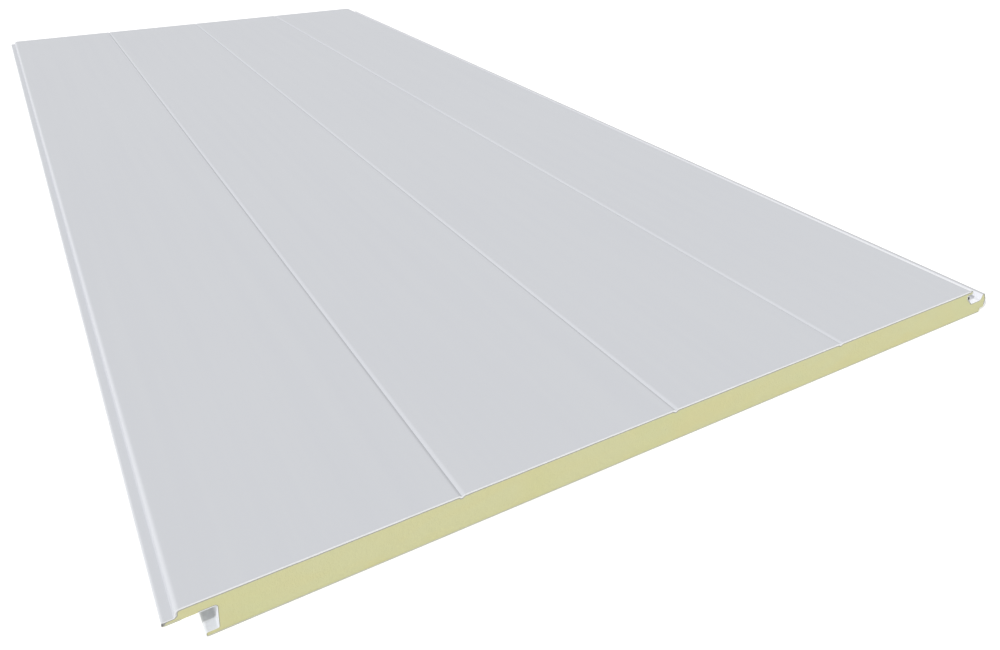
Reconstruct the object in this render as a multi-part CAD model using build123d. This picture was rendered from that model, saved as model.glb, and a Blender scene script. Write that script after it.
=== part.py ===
"""Insulated facade panel with a hidden-fixing joint, lying flat with its outer face up.

One section runs the whole length: a rigid foam core, a thin steel facing folded over the outer face and
both long edges, a second one under the back, and a soft strip in the joint. Sizes are in millimetres.
X is across the panel, Y along it and Z through its thickness.
"""
from build123d import *
import os

# Overall sizes
cover_width = 1100.0       # from one joint line to the next, with panels fitted side by side
length = 2460.0
thickness = 40.0
outer_sheet = 0.75
inner_sheet = 0.5

# V grooves that divide the outer face into fields
first_groove = 274.7       # its middle, from the left joint line
groove_pitch = 273.1
groove_width = 5.6
groove_depth = 1.8
groove_shoulder_radius = 6.0
groove_root_radius = 0.5
narrowest_field = 200.0    # a field next to the nose is never narrower than this

# Left edge: a tongue with a thinner lip, and a recess under it
riser_at = 1.7             # the tongue's step, from the joint line
riser_radius = 4.6
lip_reach = 9.2            # how far the lip stands out past the joint line
lip_drop = 7.3             # from the outer face down to the lip
lip_thickness = 4.7
lip_radius = 2.0
recess_at = 36.5           # the recess wall, from the joint line
recess_radius = 2.2
bottom_lip_at = 25.2       # tip of the bottom lip, from the joint line
bottom_lip_thickness = 4.8
bottom_lip_radius = 2.0
bare_from = 7.0            # the foam is bare under the tongue between the two facings,
bare_width = 14.0          # so that no steel leads through the panel
fold_radius = 1.2          # inside of a tight fold

# Clearances between this panel's right edge and the next panel's left edge
nose_gap = 4.9             # the shadow joint between the nose and the tongue's step
side_gap = 6.5             # beside the rib and the bottom edge
seal_gap = 4.8             # between the lip's tip and the back of the cavity
slip_gap = 0.5             # over the lip
rib_gap = 1.3              # over the rib
foot_gap = 0.9             # under the rib

# Right edge: a nose over a cavity, a channel for the fixing screws, and a rib
nose_bottom_radius = 2.2
nose_flat = 0.6            # straight stretch between the nose's two roundings
cavity_height = 4.8
channel_depth = 21.6       # from the outer face down to the channel's floor
channel_width = 21.4
channel_radius = 6.0
channel_corner_radius = 2.5
rib_top_width = 4.4
rib_lean = 3.6             # how far the rib's top stands in from its outer side
rib_shoulder_drop = 9.2    # from the rib's top down to its widest line
rib_shoulder_radius = 6.0
rib_foot_inset = 3.0
rib_foot_radius = 1.5
bottom_edge_inset = 1.2    # the bottom corner stands in from the step above it
facing_end = 4.0           # the outer facing ends this far above the rib's foot

# Sealing strip, a round cord pressed into the back of the cavity
seal_radius = 2.0
seal_press = 0.15

# Places that follow from the sizes above, from the left joint line and the underside
lip_top = thickness - lip_drop
tongue_under = lip_top - lip_thickness
nose_tip = cover_width + riser_at - nose_gap
nose_under = lip_top + slip_gap
nose_top_radius = thickness - nose_under - nose_bottom_radius - nose_flat
groove_count = int((nose_tip - narrowest_field - first_groove) / groove_pitch) + 1
cavity_back = cover_width - lip_reach - seal_gap
cavity_low = nose_under - cavity_height
channel_floor = thickness - channel_depth
channel_start = cavity_back + cavity_low - channel_floor
channel_end = channel_start + channel_width
rib_side = cover_width + recess_at - side_gap
rib_top = tongue_under - rib_gap
rib_outer = rib_side - rib_lean
rib_inner = rib_outer - rib_top_width
rib_shoulder = rib_top - rib_shoulder_drop
rib_foot = bottom_lip_thickness + foot_gap
step_in = cover_width + bottom_lip_at - side_gap
clear = 10.0               # how far cutting shapes run past the panel


def groove_corners():
    """Corners of the grooves in the outer face, from left to right, each as (x, z, radius)."""
    corners = []
    for number in range(groove_count):
        middle = first_groove + number * groove_pitch
        corners += [
            (middle - groove_width / 2, thickness, groove_shoulder_radius),
            (middle, thickness - groove_depth, groove_root_radius),
            (middle + groove_width / 2, thickness, groove_shoulder_radius),
        ]
    return corners


def left_corners():
    """Corners of the left edge, from the bottom lip up to the outer face."""
    return [
        (bottom_lip_at, 0, bottom_lip_radius),
        (bottom_lip_at, bottom_lip_thickness, bottom_lip_radius),
        (recess_at, bottom_lip_thickness, fold_radius),
        (recess_at, tongue_under, recess_radius),
        (-lip_reach, tongue_under, lip_radius),
        (-lip_reach, lip_top, lip_radius),
        (riser_at, lip_top, fold_radius),
        (riser_at, thickness, riser_radius),
    ]


def right_corners():
    """Corners of the right edge, from the nose down to the underside."""
    return [
        (nose_tip, thickness, nose_top_radius),
        (nose_tip, nose_under, nose_bottom_radius),
        (cavity_back, nose_under, fold_radius),
        (cavity_back, cavity_low, fold_radius),
        (channel_start, channel_floor, channel_corner_radius),
        (channel_end, channel_floor, channel_radius),
        (rib_inner, rib_top, fold_radius),
        (rib_outer, rib_top, fold_radius),
        (rib_side, rib_shoulder, rib_shoulder_radius),
        (rib_side - rib_foot_inset, rib_foot, rib_foot_radius),
        (step_in, rib_foot, 0),
        (step_in - bottom_edge_inset, 0, 0),
    ]


def panel_section():
    """The panel's whole section, across X and up Z."""
    corners = left_corners() + groove_corners() + right_corners()
    points = [(x, z) for x, z, _ in corners]
    radii = [radius for _, _, radius in corners]
    with BuildSketch(Plane.XZ) as section:
        with BuildLine():
            FilletPolyline(*points, radius=radii, close=True)
        make_face()
    return section.sketch


def skin(section, depth, zone):
    """The layer of the section as deep as a facing, kept inside the zone where the facing runs."""
    core = offset(section, amount=-depth, kind=Kind.INTERSECTION)
    return (section - core) & (Plane.XZ * make_face(Polyline(*zone, close=True)))


def outer_zone():
    """Where the outer facing runs: over the lip, the outer face, the nose, the channel and the rib."""
    left = -lip_reach - clear
    right = rib_side + clear
    middle = cover_width / 2
    return [
        (left, bottom_lip_thickness),
        (bare_from, bottom_lip_thickness),
        (bare_from, lip_top),
        (middle, lip_top),
        (middle, rib_foot + facing_end),
        (right, rib_foot + facing_end),
        (right, thickness + clear),
        (left, thickness + clear),
    ]


def inner_zone():
    """Where the inner facing runs: over the recess, its wall, the bottom lip and the underside."""
    left = bare_from + bare_width
    right = rib_side + clear
    middle = cover_width / 2
    return [
        (left, -clear),
        (right, -clear),
        (right, inner_sheet),
        (middle, inner_sheet),
        (middle, lip_top),
        (left, lip_top),
    ]


def seal_section(section):
    """The sealing strip's section, seated against the cavity's back and the slope below it."""
    across = cavity_back + seal_radius - seal_press
    up = cavity_low + seal_radius * (2 ** 0.5 - 1)
    return Plane.XZ * Pos(across, up) * Circle(seal_radius) - section


def along(section, middle):
    """The section run along the panel's length, with the panel's middle at the origin."""
    return Pos(-middle, 0, 0) * extrude(section, amount=length / 2, both=True)


section = panel_section()
outer_facing = skin(section, outer_sheet, outer_zone())
inner_facing = skin(section, inner_sheet, inner_zone())
pieces = {
    "outer_facing": outer_facing,
    "inner_facing": inner_facing,
    "foam_core": section - outer_facing - inner_facing,
    "joint_seal": seal_section(section),
}

middle = section.bounding_box().center().X
os.makedirs("parts", exist_ok=True)
for name, piece in pieces.items():
    export_step(along(piece, middle), f"parts/{name}.step")
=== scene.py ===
import math

import bpy
import numpy as np
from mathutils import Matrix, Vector
from mathutils.geometry import delaunay_2d_cdt


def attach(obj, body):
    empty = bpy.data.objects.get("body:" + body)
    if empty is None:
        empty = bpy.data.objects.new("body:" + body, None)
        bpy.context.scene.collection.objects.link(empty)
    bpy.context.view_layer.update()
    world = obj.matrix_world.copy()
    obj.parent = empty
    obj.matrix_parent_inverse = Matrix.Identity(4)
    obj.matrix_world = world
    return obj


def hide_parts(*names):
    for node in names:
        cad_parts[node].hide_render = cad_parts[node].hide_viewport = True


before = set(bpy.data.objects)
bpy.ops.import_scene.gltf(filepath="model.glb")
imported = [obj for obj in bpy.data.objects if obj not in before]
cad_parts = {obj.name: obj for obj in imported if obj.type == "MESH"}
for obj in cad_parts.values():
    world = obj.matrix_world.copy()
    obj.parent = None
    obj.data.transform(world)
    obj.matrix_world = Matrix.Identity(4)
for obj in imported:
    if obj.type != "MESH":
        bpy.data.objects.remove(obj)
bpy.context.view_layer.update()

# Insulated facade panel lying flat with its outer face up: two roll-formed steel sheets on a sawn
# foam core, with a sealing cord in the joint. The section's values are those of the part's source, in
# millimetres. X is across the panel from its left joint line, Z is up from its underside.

MM = 0.001

# Overall sizes
cover_width = 1100.0       # from one joint line to the next, with panels fitted side by side
length = 2460.0
thickness = 40.0
outer_sheet = 0.75
inner_sheet = 0.5

# V grooves that divide the outer face into fields
first_groove = 274.7       # its middle, from the left joint line
groove_pitch = 273.1
groove_width = 5.6
groove_depth = 1.8
groove_shoulder_radius = 6.0
groove_root_radius = 0.5
narrowest_field = 200.0

# Left edge: a tongue with a thinner lip, and a recess under it
riser_at = 1.7
riser_radius = 4.6
lip_reach = 9.2
lip_drop = 7.3
lip_thickness = 4.7
lip_radius = 2.0
recess_at = 36.5
recess_radius = 2.2
bottom_lip_at = 25.2
bottom_lip_thickness = 4.8
bottom_lip_radius = 2.0
bare_from = 7.0
bare_width = 14.0
fold_radius = 1.2

# Clearances between this panel's right edge and the next panel's left edge
nose_gap = 4.9
side_gap = 6.5
seal_gap = 4.8
slip_gap = 0.5
rib_gap = 1.3
foot_gap = 0.9

# Right edge: a nose over a cavity, a channel for the fixing screws, and a rib
nose_bottom_radius = 2.2
nose_flat = 0.6
cavity_height = 4.8
channel_depth = 21.6
channel_width = 21.4
channel_radius = 6.0
channel_corner_radius = 2.5
rib_top_width = 4.4
rib_lean = 3.6
rib_shoulder_drop = 9.2
rib_shoulder_radius = 6.0
rib_foot_inset = 3.0
rib_foot_radius = 1.5
bottom_edge_inset = 1.2
facing_end_height = 4.0    # the outer sheet ends this far above the rib's foot

# Sealing cord, pressed into the back of the cavity
seal_radius = 2.0
seal_press = 0.15

# Places that follow from the sizes above, from the left joint line and the underside
lip_top = thickness - lip_drop
tongue_under = lip_top - lip_thickness
bare_to = bare_from + bare_width
nose_tip = cover_width + riser_at - nose_gap
nose_under = lip_top + slip_gap
nose_top_radius = thickness - nose_under - nose_bottom_radius - nose_flat
groove_count = int((nose_tip - narrowest_field - first_groove) / groove_pitch) + 1
cavity_back = cover_width - lip_reach - seal_gap
cavity_low = nose_under - cavity_height
channel_floor = thickness - channel_depth
channel_start = cavity_back + cavity_low - channel_floor
channel_end = channel_start + channel_width
rib_side = cover_width + recess_at - side_gap
rib_top = tongue_under - rib_gap
rib_outer = rib_side - rib_lean
rib_inner = rib_outer - rib_top_width
rib_shoulder = rib_top - rib_shoulder_drop
rib_foot = bottom_lip_thickness + foot_gap
facing_end = rib_foot + facing_end_height
step_in = cover_width + bottom_lip_at - side_gap

# How finely the sheets and the cord are drawn
bend_step = math.radians(7.5)
bend_support = 0.8         # a row beside each bend, so that the flats stay flat
rows_along = 24
cord_points = 32
sharp_from = math.radians(40)
same_place = 1e-6          # points this close together, in metres, become one
least_turn = 1e-6          # a corner that turns less than this isn't rounded
least_square = 1e-12       # keeps a stretch with no length from being divided by

# Layers under the sheets, seen on the foam's ends, by how far each reaches from its sheet
pale_glue = 1.25           # pale glue layer under the outer sheet at the left edge
dark_skin = 2.1            # and where the dark foam skin behind it ends
glue_growth = 0.4          # both grow by this share up to the nose
lip_glue = 0.5             # the same two layers on the thin lip
lip_skin = 1.2
joint_skin = 0.55          # in the joint there is only a thin dark skin,
rib_skin = 1.1             # thicker down the rib's outer side,
inner_skin = 0.45          # and behind the inner sheet,
foot_skin = 0.12           # where it all but ends under the panel
tip_skin = 1.5             # the foam is dark right through at the lip's tip

# The foam's sawn ends
cell_size = 1.35           # spacing of the sawn end's surface points
cell_shift = 0.3           # how far a point may stray from its place, as a share of the spacing
cell_clear = 0.3           # and how far the points keep from the rows that follow the edge
rim_step = 1.2             # spacing along the edge
rim_rings = (0.35, 0.8)    # rows of points that follow the edge
rim_least = 0.9            # share of the first row's distance that a point keeps where edges meet
sawn_depth = 0.30          # how far the saw leaves the foam behind the sheets' ends
saw_waves = (37.0, 11.3)   # its long and short waves across the panel,
saw_rise = 6.0             # and the short one's slant through the thickness
cell_depth = 0.16
edge_depth = 0.45          # the foam breaks away a little more beside the sheets
edge_reach = 1.6
end_seeds = (7, 19)
triangles_inside = 1       # the triangulation's own number for keeping what lies inside the outline
merge_within = 1e-5        # and how close points have to be for it to merge them
far_from_sheet = 40.0

# Where painted highlight, painted light and painted shade change the coating's tone in the joint
highlight_from = 1090.0        # the nose is whitened by a painted highlight from here on,
highlight_along = (-1200.0, -200.0)  # most so up to the first of these places along the panel,
highlight_left = 0.15          # and by only this share of it from the second one on
tone_blend = 0.3           # half the width over which one tone turns into the next
hollow_light_blend = 0.6         # how far up from the nose's underside the hollow's painted light fades out
wall_shade_from = channel_end - 4.0  # painted shade on the rib's inner side starts here, in the bend below it
wall_shade_blend = 2.0
rib_shade_line = rib_inner - 0.2 # where the rib's grey painted shade starts

# Floor, light and camera
floor_reach = 30.0
floor_drop = 0.0004        # the panel stands this far above the floor, so that the two don't flicker
floor_white = 0.95
floor_glow = 0.15          # the floor shines a little, so that it shows pure white
sky_strength = 0.73
lamp_strength = 1.91
lamp_angle = math.radians(2)
lamp_side = (-0.726, -0.327, 0.605)
sensor_width = 36.0
focal_length = 32.608
picture_shift = -0.25
camera_place = (-0.63124, -1.90007, 0.67013)
camera_tilt = 0.2624       # radians down from level,
camera_turn = 0.5255       # and away from the panel's length towards the right


# The section

def section_corners():
    """The section's corners clockwise from the bottom lip, as (name, x, z, radius)."""
    rib_slope = (facing_end - rib_foot) / (rib_shoulder - rib_foot)
    corners = [
        ("", bottom_lip_at, 0, bottom_lip_radius),
        ("", bottom_lip_at, bottom_lip_thickness, bottom_lip_radius),
        ("", recess_at, bottom_lip_thickness, fold_radius),
        ("", recess_at, tongue_under, recess_radius),
        ("inner end", bare_to, tongue_under, 0),
        ("outer start", bare_from, tongue_under, 0),
        ("", -lip_reach, tongue_under, lip_radius),
        ("", -lip_reach, lip_top, lip_radius),
        ("", riser_at, lip_top, fold_radius),
        ("", riser_at, thickness, riser_radius),
    ]
    for number in range(groove_count):
        root = first_groove + number * groove_pitch
        corners += [
            ("", root - groove_width / 2, thickness, groove_shoulder_radius),
            ("", root, thickness - groove_depth, groove_root_radius),
            ("", root + groove_width / 2, thickness, groove_shoulder_radius),
        ]
    corners += [
        ("", nose_tip, thickness, nose_top_radius),
        ("", nose_tip, nose_under, nose_bottom_radius),
        ("", cavity_back, nose_under, fold_radius),
        ("", cavity_back, cavity_low, fold_radius),
        ("", channel_start, channel_floor, channel_corner_radius),
        ("", channel_end, channel_floor, channel_radius),
        ("", rib_inner, rib_top, fold_radius),
        ("", rib_outer, rib_top, fold_radius),
        ("", rib_side, rib_shoulder, rib_shoulder_radius),
        ("outer end", rib_side - rib_foot_inset * (1 - rib_slope), facing_end, 0),
        ("", rib_side - rib_foot_inset, rib_foot, rib_foot_radius),
        ("", step_in, rib_foot, 0),
        ("inner start", step_in - bottom_edge_inset, 0, 0),
    ]
    return corners


def bend(before, corner, after, radius):
    """Points and outward directions round one corner of a clockwise outline."""
    into = (corner - before).normalized()
    out = (after - corner).normalized()
    turn = math.atan2(into.x * out.y - into.y * out.x, into.dot(out))
    if radius == 0 or abs(turn) < least_turn:
        outward = Vector((-into.y - out.y, into.x + out.x)).normalized()
        return [(corner, outward / math.cos(turn / 2))]
    side = 1 if turn > 0 else -1
    setback = radius * math.tan(abs(turn) / 2)
    centre = corner - into * setback + Vector((-into.y, into.x)) * side * radius
    steps = max(2, math.ceil(abs(turn) / bend_step))
    points = []
    for step in range(steps + 1):
        angle = turn * step / steps
        outward = Vector((-into.y, into.x))
        outward = Vector((
            outward.x * math.cos(angle) - outward.y * math.sin(angle),
            outward.x * math.sin(angle) + outward.y * math.cos(angle),
        ))
        points.append((centre - outward * side * radius, outward))
    return points


def supports(last, first):
    """Extra points just past one bend and just before the next, on a straight stretch."""
    run = first[0] - last[0]
    if run.length < 3 * bend_support:
        return []
    along = run.normalized()
    outward = Vector((-along.y, along.x))
    return [
        (last[0] + along * bend_support, outward),
        (first[0] - along * bend_support, outward),
    ]


def section_outline():
    """The rounded outline as [(point, outward)], and where its named corners are in that list."""
    corners = section_corners()
    places = [Vector((x, z)) for _, x, z, _ in corners]
    outline, named = [], {}
    for number, (name, _, _, radius) in enumerate(corners):
        after = places[(number + 1) % len(places)]
        points = bend(places[number - 1], places[number], after, radius)
        if outline:
            outline += supports(outline[-1], points[0])
        if name:
            named[name] = len(outline)
        outline += points
    return outline + supports(outline[-1], outline[0]), named


def with_square_ends(path):
    """The path with the directions at its two ends square to it."""
    first = (path[1][0] - path[0][0]).normalized()
    last = (path[-1][0] - path[-2][0]).normalized()
    return (
        [(path[0][0], Vector((-first.y, first.x)))]
        + path[1:-1]
        + [(path[-1][0], Vector((-last.y, last.x)))]
    )


def bond(point):
    """The layers under the outer sheet at a place: where the pale one ends and where the dark one does."""
    if point.x < tip_skin - lip_reach:
        return (0.0, tip_skin)
    if point.y < lip_top - lip_radius and point.x < cover_width / 2:
        return None
    if point.x > rib_outer:
        return (0.0, rib_skin)
    in_joint = point.x > cover_width / 2 and point.y < thickness - nose_top_radius
    if in_joint or point.x > nose_tip - nose_top_radius:
        return (0.0, joint_skin)
    if point.x < riser_at:
        return (lip_glue, lip_skin)
    growth = 1 + glue_growth * point.x / nose_tip
    return (pale_glue * growth, dark_skin * growth)


def foam_outline(outline, named):
    """The foam's outline as (point, bond there), and the paths of both sheets."""
    inner = with_square_ends(outline[named["inner start"]:] + outline[:named["inner end"] + 1])
    outer = with_square_ends(outline[named["outer start"]:named["outer end"] + 1])
    bare_side = outline[named["outer end"]:named["inner start"]]
    slope = bottom_edge_inset * inner_sheet / rib_foot
    corner = Vector((step_in - bottom_edge_inset + slope, inner_sheet))
    loop = [
        (point - outward * inner_sheet, (0.0, inner_skin if point.y > bottom_lip_radius else foot_skin))
        for point, outward in inner
    ]
    loop += [(outline[named[name]][0], None) for name in ("inner end", "outer start")]
    loop += [(point - outward * outer_sheet, bond(point)) for point, outward in outer]
    loop += [(point, None) for point, _ in bare_side]
    loop.append((corner, (0.0, foot_skin)))
    return loop, inner, outer


outline, named = section_outline()
foam_loop, inner_path, outer_path = foam_outline(outline, named)
across = [point.x for point, _ in outline]
middle = (min(across) + max(across)) / 2
half_length = length / 2 * MM


def placed(x, z, y=0.0):
    """A place in the section, in metres in the frame."""
    return ((x - middle) * MM, y, z * MM)


# Finishes

def linear(*parts):
    """A colour given in 0 to 255 screen values, as the shader takes it."""
    made = [p / 255 for p in parts]
    made = [p / 12.92 if p <= 0.04045 else ((p + 0.055) / 1.055) ** 2.4 for p in made]
    return (*made, 1.0)


# Colours of the coatings, and of the painted highlight, painted light and painted shade in the joint's
# zones
face_grey = linear(198, 200, 205)
face_streak = linear(201, 203, 207)
# The nose's tone is a painted highlight, the hollow's is painted light in the nose's shadow, the rib's
# inner wall is darkened as painted shade where the lamp falls full on it, and the rib's grey is painted
# shade
nose_painted_highlight = linear(234, 235, 237)
hollow_painted_light = linear(244, 245, 249)
wall_painted_shade = linear(219, 220, 226)
rib_painted_shade = linear(191, 192, 195)
back_white = linear(214, 217, 222)
back_streak = linear(218, 220, 224)

# Colours of the cut edges: painted shade past the nose, under the tongue and in the cavity, darker at the
# lip's tip and along the bottom; and how far before the cavity's back the painted shade above it starts
# and is full
cut_zinc = linear(227, 228, 230)
sheared_zinc = linear(214, 216, 218)
nose_edge_shade = linear(118, 118, 108)
tongue_edge_shade = linear(184, 184, 146)
cavity_edge_shade = linear(150, 150, 130)
tip_dark_edge = linear(104, 104, 104)
foot_dark_edge = linear(163, 162, 140)
cavity_shade_from, cavity_shade_full = 4.0, 2.0

# Colours of the foam and of the layers on it, and where each fades out by the foam's "layer" attribute
foam_yellow = linear(199, 198, 156)
foam_ochre = linear(203, 195, 141)
foam_green = linear(194, 198, 148)
cell_shade = linear(181, 179, 133)
hole_shade = linear(185, 181, 133)
dark_layer = linear(151, 151, 148)
pale_layer = linear(226, 226, 227)
dark_layer_ends = (1.8, 2.1)
pale_layer_ends = (0.85, 1.05)

rubber_black = linear(30, 30, 31)
rubber_dust = linear(78, 78, 76)


def finish_material(name, colour, roughness, specular):
    """A new material: its shader, and the socket with the object's own coordinates."""
    material = bpy.data.materials.new(name)
    material.use_nodes = True
    shader = material.node_tree.nodes["Principled BSDF"]
    shader.inputs["Base Color"].default_value = colour
    shader.inputs["Roughness"].default_value = roughness
    shader.inputs["Specular IOR Level"].default_value = specular
    place = material.node_tree.nodes.new("ShaderNodeTexCoord").outputs["Object"]
    return material, shader, place


def stretched(shader, place, across=1.0, along=1.0, up=1.0):
    """Coordinates scaled by a different amount along each axis."""
    node = shader.id_data.nodes.new("ShaderNodeMapping")
    node.inputs["Scale"].default_value = (across, along, up)
    shader.id_data.links.new(place, node.inputs["Vector"])
    return node.outputs["Vector"]


def noise(shader, place, scale=1.0, detail=2.0, roughness=0.5, distortion=0.0):
    """Noise from 0 to 1, scale in features per metre."""
    node = shader.id_data.nodes.new("ShaderNodeTexNoise")
    node.inputs["Scale"].default_value = scale
    node.inputs["Detail"].default_value = detail
    node.inputs["Roughness"].default_value = roughness
    node.inputs["Distortion"].default_value = distortion
    shader.id_data.links.new(place, node.inputs["Vector"])
    return node.outputs["Fac"]


def cells(shader, place, scale):
    """Round cells: distance from the middle of the nearest one, scale in cells per metre."""
    node = shader.id_data.nodes.new("ShaderNodeTexVoronoi")
    node.inputs["Scale"].default_value = scale
    shader.id_data.links.new(place, node.inputs["Vector"])
    return node.outputs["Distance"]


def spread(shader, value, between, onto):
    """A value mapped from one range onto another, and held at its ends."""
    node = shader.id_data.nodes.new("ShaderNodeMapRange")
    for socket, number in zip(node.inputs[1:5], (*between, *onto)):
        socket.default_value = number
    shader.id_data.links.new(value, node.inputs["Value"])
    return node.outputs["Result"]


def blended(shader, amount, first, second):
    """Two colours blended by an amount; each is a colour or a socket."""
    node = shader.id_data.nodes.new("ShaderNodeMix")
    node.data_type = "RGBA"
    shader.id_data.links.new(amount, node.inputs["Factor"])
    colour_inputs = [socket for socket in node.inputs if socket.type == "RGBA"]
    for socket, colour in zip(colour_inputs, (first, second)):
        if isinstance(colour, tuple):
            socket.default_value = colour
        else:
            shader.id_data.links.new(colour, socket)
    return next(socket for socket in node.outputs if socket.type == "RGBA")


def product(shader, first, second):
    """Two values multiplied, which is 1 only where both are."""
    node = shader.id_data.nodes.new("ShaderNodeMath")
    node.operation = "MULTIPLY"
    shader.id_data.links.new(first, node.inputs[0])
    shader.id_data.links.new(second, node.inputs[1])
    return node.outputs["Value"]


def ramp(shader, place, axis, between, onto=(0.0, 1.0)):
    """A value that changes between two places of the section, or along the panel, in millimetres."""
    split = shader.id_data.nodes.new("ShaderNodeSeparateXYZ")
    shader.id_data.links.new(place, split.inputs["Vector"])
    start = middle if axis == "X" else 0.0
    low, high = between
    return spread(shader, split.outputs[axis], ((low - start) * MM, (high - start) * MM), onto)


def beyond(shader, place, edge, blend=tone_blend):
    """1 on the far side of a place across the panel, or else 0."""
    return ramp(shader, place, "X", (edge - blend, edge + blend))


def nose_highlight_zone(shader, place):
    """The nose's rounding and the stretch before it, whitened as a painted highlight that is strongest at
    the near end and fades along the panel.
    """
    fade = ramp(shader, place, "Y", highlight_along, (1.0, highlight_left))
    return product(shader, beyond(shader, place, highlight_from), fade)


def hollow_light_zone(shader, place):
    """The cavity under the nose, the slope and the channel's floor, lightened as painted light in the
    nose's shadow.
    """
    under = ramp(shader, place, "Z", (nose_under, nose_under + hollow_light_blend), (1.0, 0.0))
    return product(shader, beyond(shader, place, cavity_back - fold_radius), under)


def wall_shade_zone(shader, place):
    """The rib's inner side, from the middle of the bend below it, darkened as painted shade where the lamp
    falls full on it.
    """
    return beyond(shader, place, wall_shade_from, wall_shade_blend)


def rib_shade_zone(shader, place):
    """The rib's top and outer side, greyed as painted shade."""
    return beyond(shader, place, rib_shade_line)


def raised(shader, height, depth, strength, under=None):
    """Relief on the surface, depth in metres."""
    node = shader.id_data.nodes.new("ShaderNodeBump")
    node.inputs["Strength"].default_value = strength
    node.inputs["Distance"].default_value = depth
    shader.id_data.links.new(height, node.inputs["Height"])
    if under:
        shader.id_data.links.new(under, node.inputs["Normal"])
    return node.outputs["Normal"]


def painted_steel(name, colour, streak_colour, zones=()):
    """Coil-coated steel: faint streaks along the roll's direction and a fine orange peel."""
    material, shader, place = finish_material(name, colour, roughness=0.5, specular=0.4)
    links = material.node_tree.links
    streaks = noise(shader, stretched(shader, place, across=60.0, along=1.5, up=60.0), detail=4.0)
    clouds = noise(shader, place, scale=2.2)
    tone = blended(shader, spread(shader, streaks, (0.35, 0.65), (0.0, 0.5)), colour, streak_colour)
    tone = blended(shader, spread(shader, clouds, (0.3, 0.7), (0.0, 0.4)), tone, streak_colour)
    # the zones lay painted highlight, painted light and painted shade over the coating's tone
    for zone, zone_colour in zones:
        tone = blended(shader, zone(shader, place), tone, zone_colour)
    links.new(tone, shader.inputs["Base Color"])
    links.new(spread(shader, clouds, (0.3, 0.7), (0.48, 0.53)), shader.inputs["Roughness"])
    peel = noise(shader, place, scale=420.0, detail=3.0, roughness=0.6)
    links.new(raised(shader, peel, depth=0.00003, strength=0.35), shader.inputs["Normal"])
    return material


def cut_steel(name):
    """Cut zinc-coated steel with fine shear marks, bright along the outer face's edge, with painted shade
    past the nose, under the tongue and in the cavity, and darker at the lip's tip and along the bottom.
    """
    material, shader, place = finish_material(name, cut_zinc, roughness=0.38, specular=0.6)
    links = material.node_tree.links
    shear = noise(shader, stretched(shader, place, across=2500.0, along=2500.0, up=300.0))
    tone = blended(shader, spread(shader, shear, (0.3, 0.7), (0.0, 0.35)), cut_zinc, sheared_zinc)
    # painted shade on the cut edge past the nose, under the tongue and in the cavity; darker at the lip's
    # tip and along the bottom
    nose = ramp(shader, place, "X", (nose_tip - 3 * nose_top_radius, nose_tip - nose_top_radius))
    under_lip = product(
        shader,
        ramp(shader, place, "X", (bare_from, bare_to), (1.0, 0.0)),
        ramp(shader, place, "Z", (lip_top - 2 * outer_sheet, lip_top - outer_sheet), (1.0, 0.0)),
    )
    cavity = product(
        shader,
        ramp(shader, place, "X", (cavity_back - cavity_shade_from, cavity_back - cavity_shade_full)),
        ramp(shader, place, "Z", (thickness - nose_top_radius, thickness - outer_sheet), (1.0, 0.0)),
    )
    tip = ramp(shader, place, "X", (tip_skin / 2 - lip_reach, tip_skin - lip_reach), (1.0, 0.0))
    foot = ramp(shader, place, "Z", (inner_sheet, 2 * inner_sheet), (1.0, 0.0))
    zones = (nose, under_lip, cavity, tip, foot)
    for zone, dust_and_shade in zip(zones, (nose_edge_shade, tongue_edge_shade, cavity_edge_shade, tip_dark_edge, foot_dark_edge)):
        tone = blended(shader, zone, tone, dust_and_shade)
    links.new(tone, shader.inputs["Base Color"])
    links.new(raised(shader, shear, depth=0.00003, strength=0.4), shader.inputs["Normal"])
    return material


def rigid_foam(name):
    """Rigid foam: fine closed cells, ochre and green flow patches, a pale glue layer and a dark skin."""
    material, shader, place = finish_material(name, foam_yellow, roughness=0.9, specular=0.15)
    links = material.node_tree.links
    flow = noise(
        shader, stretched(shader, place, across=14.0, along=3.0, up=40.0), detail=3.0, distortion=0.6
    )
    patch = noise(shader, place, scale=9.0)
    tone = blended(shader, spread(shader, flow, (0.42, 0.66), (0.0, 0.35)), foam_yellow, foam_ochre)
    tone = blended(shader, spread(shader, patch, (0.5, 0.7), (0.0, 0.35)), tone, foam_green)
    tall = stretched(shader, place, up=0.72)
    fine = cells(shader, tall, scale=2200.0)
    coarse = cells(shader, tall, scale=700.0)
    tone = blended(shader, spread(shader, fine, (0.0, 0.75), (0.22, 0.0)), tone, cell_shade)
    tone = blended(shader, spread(shader, coarse, (0.0, 0.4), (0.16, 0.0)), tone, hole_shade)
    layers = shader.id_data.nodes.new("ShaderNodeAttribute")
    layers.attribute_name = "layer"
    for ends, layer_colour in ((dark_layer_ends, dark_layer), (pale_layer_ends, pale_layer)):
        tone = blended(shader, spread(shader, layers.outputs["Fac"], ends, (1.0, 0.0)), tone, layer_colour)
    links.new(tone, shader.inputs["Base Color"])
    pits = raised(shader, fine, depth=0.00025, strength=0.5)
    links.new(raised(shader, coarse, depth=0.0004, strength=0.35, under=pits), shader.inputs["Normal"])
    return material


def sealing_cord(name):
    """Black cellular rubber, dusty on its skin."""
    material, shader, place = finish_material(name, rubber_black, roughness=0.7, specular=0.3)
    links = material.node_tree.links
    dust_and_shade = noise(shader, place, scale=240.0, detail=4.0, roughness=0.7)
    tone = blended(shader, spread(shader, dust_and_shade, (0.5, 0.8), (0.0, 0.5)), rubber_black, rubber_dust)
    links.new(tone, shader.inputs["Base Color"])
    skin = noise(shader, place, scale=1800.0)
    links.new(raised(shader, skin, depth=0.0001, strength=0.4), shader.inputs["Normal"])
    return material


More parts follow.
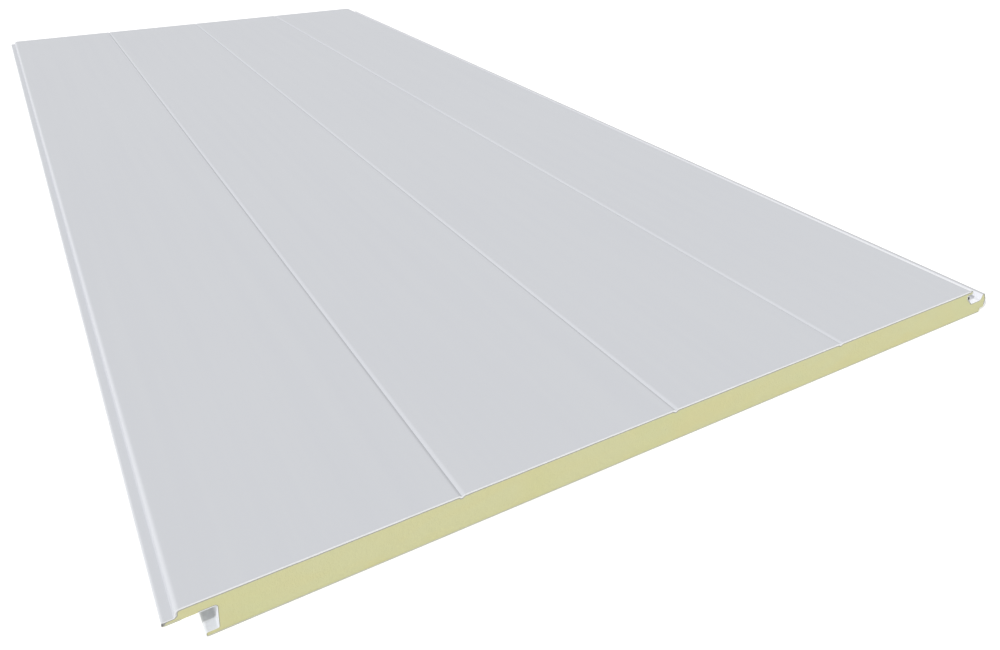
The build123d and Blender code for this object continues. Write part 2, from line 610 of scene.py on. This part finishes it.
# The outer coating: painted highlight on the nose, painted light in the hollow, painted shade on the rib's
# inner wall and on the rib
outer_paint = painted_steel("light_grey_coil_coating", face_grey, face_streak, [
    (nose_highlight_zone, nose_painted_highlight),
    (hollow_light_zone, hollow_painted_light),
    (wall_shade_zone, wall_painted_shade),
    (rib_shade_zone, rib_painted_shade),
])
inner_paint = painted_steel("grey_white_coil_coating", back_white, back_streak)
cut_edge = cut_steel("cut_zinc_coated_edge")
foam_finish = rigid_foam("rigid_foam_cells")
seal_finish = sealing_cord("black_sealing_cord")


# Forming trees

class Tree:
    """A node tree for forming a section, with short calls for its nodes and links."""

    def __init__(self, name, inputs):
        self.group = bpy.data.node_groups.new(name, "GeometryNodeTree")
        for label, kind in inputs:
            self.group.interface.new_socket(label, in_out="INPUT", socket_type=kind)
        self.group.interface.new_socket("Formed", in_out="OUTPUT", socket_type="NodeSocketGeometry")
        self.given = self.group.nodes.new("NodeGroupInput").outputs

    def add(self, kind, settings=(), **sockets):
        node = self.group.nodes.new(kind)
        for name, value in settings:
            setattr(node, name, value)
        for name, value in sockets.items():
            socket = node.inputs[name.replace("_", " ")]
            if isinstance(value, bpy.types.NodeSocket):
                self.group.links.new(value, socket)
            else:
                socket.default_value = value
        return node

    def end(self, socket):
        node = self.group.nodes.new("NodeGroupOutput")
        self.group.links.new(socket, node.inputs[0])


def path_along(tree):
    """The straight path that a section runs along, from the near end to the far end."""
    near, far = (
        tree.add(
            "ShaderNodeVectorMath",
            settings=[("operation", "SCALE")],
            Vector=(0.0, share, 0.0),
            Scale=tree.given["Panel length"],
        ).outputs["Vector"]
        for share in (-0.5, 0.5)
    )
    line = tree.add("GeometryNodeCurvePrimitiveLine", Start=near, End=far)
    rows = tree.add(
        "GeometryNodeResampleCurve", Curve=line.outputs["Curve"], Count=tree.given["Rows"]
    )
    return rows.outputs["Curve"]


def run_along(tree, caps):
    """The section line turned square to the path and run along it."""
    line = tree.add("GeometryNodeMeshToCurve", Mesh=tree.given["Section"])
    turned = tree.add(
        "GeometryNodeTransform",
        Geometry=line.outputs["Curve"],
        Rotation=(math.pi / 2, 0.0, 0.0),
    )
    return tree.add(
        "GeometryNodeCurveToMesh",
        Curve=path_along(tree),
        Profile_Curve=turned.outputs["Geometry"],
        Fill_Caps=caps,
    ).outputs["Mesh"]


def sheet_tree():
    """Steel sheet: the section line run along the panel, thickened inwards, with bare cut edges."""
    tree = Tree("formed_sheet", [
        ("Section", "NodeSocketGeometry"),
        ("Panel length", "NodeSocketFloat"),
        ("Rows", "NodeSocketInt"),
        ("Sheet thickness", "NodeSocketFloat"),
        ("Paint", "NodeSocketMaterial"),
        ("Cut edge", "NodeSocketMaterial"),
    ])
    bare = run_along(tree, caps=False)
    face = tree.add(
        "GeometryNodeSetMaterial", Geometry=bare, Material=tree.given["Paint"]
    ).outputs["Geometry"]
    turned = tree.add("GeometryNodeFlipFaces", Mesh=face).outputs["Mesh"]
    wall = tree.add(
        "GeometryNodeExtrudeMesh",
        settings=[("mode", "FACES")],
        Mesh=turned,
        Offset_Scale=tree.given["Sheet thickness"],
        Individual=False,
    )
    sides = tree.add("GeometryNodeCaptureAttribute", settings=[("domain", "FACE")])
    sides.capture_items.new("BOOLEAN", "Cut")
    tree.group.links.new(wall.outputs["Mesh"], sides.inputs["Geometry"])
    tree.group.links.new(wall.outputs["Side"], sides.inputs["Cut"])
    both = tree.add("GeometryNodeJoinGeometry")
    tree.group.links.new(sides.outputs["Geometry"], both.inputs["Geometry"])
    tree.group.links.new(face, both.inputs["Geometry"])
    closed = tree.add(
        "GeometryNodeMergeByDistance", Geometry=both.outputs["Geometry"], Distance=same_place
    )
    whole = tree.add("GeometryNodeRealizeInstances", Geometry=closed.outputs["Geometry"])
    cut = tree.add(
        "GeometryNodeSetMaterial",
        Geometry=whole.outputs["Geometry"],
        Selection=sides.outputs["Cut"],
        Material=tree.given["Cut edge"],
    )
    tree.end(cut.outputs["Geometry"])
    return tree.group


def cord_tree():
    """Sealing cord: its section run along the joint and closed at both ends."""
    tree = Tree("formed_cord", [
        ("Section", "NodeSocketGeometry"),
        ("Panel length", "NodeSocketFloat"),
        ("Rows", "NodeSocketInt"),
        ("Rubber", "NodeSocketMaterial"),
    ])
    cord = run_along(tree, caps=True)
    closed = tree.add("GeometryNodeMergeByDistance", Geometry=cord, Distance=same_place)
    whole = tree.add("GeometryNodeRealizeInstances", Geometry=closed.outputs["Geometry"])
    rubber = tree.add(
        "GeometryNodeSetMaterial", Geometry=whole.outputs["Geometry"], Material=tree.given["Rubber"]
    )
    tree.end(rubber.outputs["Geometry"])
    return tree.group


def section_line(name, points, closed, finish):
    """An object whose mesh is only the section's line, to be formed."""
    mesh = bpy.data.meshes.new(name)
    edges = [(n, n + 1) for n in range(len(points) - 1)]
    if closed:
        edges.append((len(points) - 1, 0))
    mesh.from_pydata([placed(p.x, p.y) for p in points], edges, [])
    mesh.materials.append(finish)
    line = bpy.data.objects.new(name, mesh)
    bpy.context.collection.objects.link(line)
    return line


def formed(name, points, tree, values, finish, closed=False):
    """The finished piece: the section line with the tree's result as its plain mesh."""
    piece = section_line(name, points, closed, finish)
    modifier = piece.modifiers.new("forming", "NODES")
    modifier.node_group = tree
    sockets = {s.name: s.identifier for s in tree.interface.items_tree if s.in_out == "INPUT"}
    for label, value in values.items():
        modifier[sockets[label]] = value
    bpy.context.view_layer.update()
    evaluated = piece.evaluated_get(bpy.context.evaluated_depsgraph_get())
    mesh = bpy.data.meshes.new_from_object(evaluated)
    piece.modifiers.clear()
    piece.data = mesh
    mesh.name = name
    shade(mesh)
    return piece


def shade(mesh):
    """Smooth over the bends and sharp at real edges."""
    mesh.shade_smooth()
    mesh.set_sharp_from_angle(angle=sharp_from)


# The pieces

def make_sheet(name, path, sheet, paint):
    """One roll-formed steel sheet."""
    return formed(name, [point for point, _ in path], sheet_forming, {
        "Panel length": length * MM,
        "Rows": rows_along + 1,
        "Sheet thickness": sheet * MM,
        "Paint": paint,
        "Cut edge": cut_edge,
    }, paint)


def make_seal(name):
    """The sealing cord, pressed flat where it sits on the cavity's back and on the slope."""
    across = cavity_back + seal_radius - seal_press
    up = cavity_low + seal_radius * (math.sqrt(2) - 1)
    slope = Vector((1, 1)).normalized()
    points = []
    for step in range(cord_points):
        angle = -step * math.tau / cord_points
        point = Vector((across + seal_radius * math.cos(angle), up + seal_radius * math.sin(angle)))
        over = (Vector((cavity_back, cavity_low)) - point).dot(slope)
        if over > 0:
            point += slope * over
        point.x = max(point.x, cavity_back)
        points.append(point)
    return formed(name, points, cord_forming, {
        "Panel length": length * MM,
        "Rows": rows_along + 1,
        "Rubber": seal_finish,
    }, seal_finish, closed=True)


def divided(loop, most):
    """The loop with more points on its long stretches, none further apart than most."""
    points = []
    for number, (point, start) in enumerate(loop):
        after, end = loop[(number + 1) % len(loop)]
        steps = max(1, math.ceil((after - point).length / most))
        points.append((point, start))
        for step in range(1, steps):
            share = step / steps
            between = start and end and tuple(a + (b - a) * share for a, b in zip(start, end))
            points.append((point.lerp(after, share), between))
    return points


def inside(points, loop):
    """Which points lie inside a loop, how far each is from it, and which layer each lies in.

    The layer runs from 0 to 1 through the pale glue, to 2 through the dark skin, and on into the foam.
    """
    start = np.array([tuple(point) for point, _ in loop])
    end = np.roll(start, -1, axis=0)
    within = np.zeros(len(points), bool)
    nearest = np.full(len(points), far_from_sheet)
    layer = nearest.copy()
    px, py = points[:, 0], points[:, 1]
    for number, ((ax, ay), (bx, by)) in enumerate(zip(start, end)):
        if ay != by:
            crosses = (ay > py) != (by > py)
            within ^= crosses & (px < (bx - ax) * (py - ay) / (by - ay) + ax)
        run = np.array([bx - ax, by - ay])
        share = ((px - ax) * run[0] + (py - ay) * run[1]) / max(run @ run, least_square)
        share = np.clip(share, 0, 1)
        gap = np.hypot(px - ax - share * run[0], py - ay - share * run[1])
        nearest = np.minimum(nearest, gap)
        here, after = loop[number][1], loop[(number + 1) % len(loop)][1]
        if here and after:
            pale, dark = ((a + b) / 2 for a, b in zip(here, after))
            through = (gap - pale) / (dark - pale) + 1
            if pale > 0:
                through = np.where(gap < pale, gap / pale, through)
            layer = np.minimum(layer, through)
    return within, nearest, layer


def rings(loop):
    """Points that follow the loop a little way inside it."""
    points = []
    for number, (point, _) in enumerate(loop):
        along = loop[(number + 1) % len(loop)][0] - loop[number - 1][0]
        inward = Vector((along.y, -along.x)).normalized()
        points += [tuple(point + inward * depth) for depth in rim_rings]
    points = np.array(points)
    within, gap, _ = inside(points, loop)
    return points[within & (gap > rim_rings[0] * rim_least)]


def sawn_end(loop, seed):
    """Points of one sawn end inside the loop, and how deep each lies behind the sheets' ends."""
    random = np.random.default_rng(seed)
    corners = np.array([tuple(point) for point, _ in loop])
    low, high = corners.min(axis=0), corners.max(axis=0)
    rise = cell_size * math.sqrt(3) / 2
    columns = int((high[0] - low[0]) / cell_size) + 1
    rows = int((high[1] - low[1]) / rise) + 1
    column, row = np.meshgrid(np.arange(columns), np.arange(rows))
    grid = np.stack([
        low[0] + (column + (row % 2) / 2) * cell_size,
        low[1] + row * rise,
    ], axis=-1).reshape(-1, 2)
    grid += random.uniform(-cell_shift, cell_shift, grid.shape) * cell_size
    within, gap, _ = inside(grid, loop)
    grid = grid[within & (gap > rim_rings[-1] + cell_size * cell_clear)]
    points = np.concatenate([grid, rings(loop)])
    _, gap, _ = inside(points, loop)
    long_wave, short_wave = saw_waves
    wave = 0.5 + 0.25 * np.sin(points[:, 0] / long_wave + seed)
    wave += 0.25 * np.sin(points[:, 0] / short_wave + points[:, 1] / saw_rise)
    depth = sawn_depth * wave + cell_depth * random.uniform(0, 1, len(points))
    edge = np.clip(1 - gap / edge_reach, 0, 1)
    return points, depth * (1 - edge) + edge_depth * edge


def make_foam(name):
    """The foam core: its sides straight along the panel, its two ends sawn."""
    loop = divided(foam_loop, rim_step)
    count = len(loop)
    ring = list(range(count))
    vertices, faces, layer, rims = [], [], [], []
    for seed, inward in zip(end_seeds, (1, -1)):
        y = -inward * half_length
        points, depth = sawn_end(loop, seed)
        points = np.concatenate([[tuple(point) for point, _ in loop], points])
        depths = np.concatenate([np.full(count, edge_depth), depth])
        _, _, layers = inside(points, loop)
        corners = [Vector(point) for point in points]
        made = delaunay_2d_cdt(corners, [], [ring], triangles_inside, merge_within)
        places, triangles, origins = made[0], made[2], made[3]
        first = len(vertices)
        for place, merged in zip(places, origins):
            vertices.append(placed(place.x, place.y, y + inward * depths[merged[0]] * MM))
        for triangle in triangles:
            a, b, c = (places[n] for n in triangle)
            anticlockwise = (b - a).x * (c - a).y - (b - a).y * (c - a).x > 0
            triangle = triangle if anticlockwise == (inward > 0) else triangle[::-1]
            faces.append([first + n for n in triangle])
            layer += [layers[origins[n][0]] for n in triangle]
        at = {origin: n for n, merged in enumerate(origins) for origin in merged if origin < count}
        rims.append([first + at[n] for n in ring])
    near, far = rims
    for n in range(count):
        after = (n + 1) % count
        faces.append([near[n], near[after], far[after], far[n]])
        layer += [far_from_sheet] * 4
    mesh = bpy.data.meshes.new(name)
    mesh.from_pydata(vertices, [], faces)
    mesh.attributes.new("layer", "FLOAT", "CORNER").data.foreach_set("value", layer)
    mesh.materials.append(foam_finish)
    shade(mesh)
    piece = bpy.data.objects.new(name, mesh)
    bpy.context.collection.objects.link(piece)
    return piece


sheet_forming = sheet_tree()
cord_forming = cord_tree()

outer_sheet_piece = make_sheet("outer_steel_sheet", outer_path, outer_sheet, outer_paint)
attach(outer_sheet_piece, "root")
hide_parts("outer_facing")

inner_sheet_piece = make_sheet("inner_steel_sheet", inner_path, inner_sheet, inner_paint)
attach(inner_sheet_piece, "root")
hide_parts("inner_facing")

foam_piece = make_foam("sawn_foam_core")
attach(foam_piece, "root")
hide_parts("foam_core")

seal_piece = make_seal("sealing_cord")
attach(seal_piece, "root")
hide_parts("joint_seal")


# Floor, light and camera

def make_floor():
    """A plain pale floor under the panel."""
    mesh = bpy.data.meshes.new("floor")
    ends = (-floor_reach, floor_reach)
    mesh.from_pydata([(x, y, -floor_drop) for y in ends for x in ends], [], [(0, 1, 3, 2)])
    white = (floor_white, floor_white, floor_white, 1.0)
    material, shader, _ = finish_material("pale_floor", white, roughness=0.9, specular=0.1)
    shader.inputs["Emission Color"].default_value = (1.0, 1.0, 1.0, 1.0)
    shader.inputs["Emission Strength"].default_value = floor_glow
    mesh.materials.append(material)
    floor = bpy.data.objects.new("floor", mesh)
    bpy.context.collection.objects.link(floor)


def make_light():
    """An even pale surround, and one lamp from the left, the front and above."""
    world = bpy.data.worlds.new("studio")
    bpy.context.scene.world = world
    world.use_nodes = True
    surround = world.node_tree.nodes["Background"]
    surround.inputs["Color"].default_value = (1.0, 1.0, 1.0, 1.0)
    surround.inputs["Strength"].default_value = sky_strength
    lamp = bpy.data.lights.new("soft_light", "SUN")
    lamp.energy = lamp_strength
    lamp.angle = lamp_angle
    light = bpy.data.objects.new("soft_light", lamp)
    light.rotation_euler = Vector(lamp_side).to_track_quat("Z", "Y").to_euler()
    bpy.context.collection.objects.link(light)


def make_camera():
    """The photograph's viewpoint, fitted to the panel's edges, grooves and corners."""
    lens = bpy.data.cameras.new("camera")
    lens.sensor_fit = "HORIZONTAL"
    lens.sensor_width = sensor_width
    lens.lens = focal_length
    lens.shift_y = picture_shift
    lens.clip_start = 0.01
    lens.clip_end = 100.0
    camera = bpy.data.objects.new("camera", lens)
    camera.location = camera_place
    camera.rotation_euler = (math.pi / 2 - camera_tilt, 0.0, -camera_turn)
    bpy.context.collection.objects.link(camera)
    bpy.context.scene.camera = camera


make_floor()
make_light()
make_camera()
bpy.context.scene.view_settings.view_transform = "Standard"
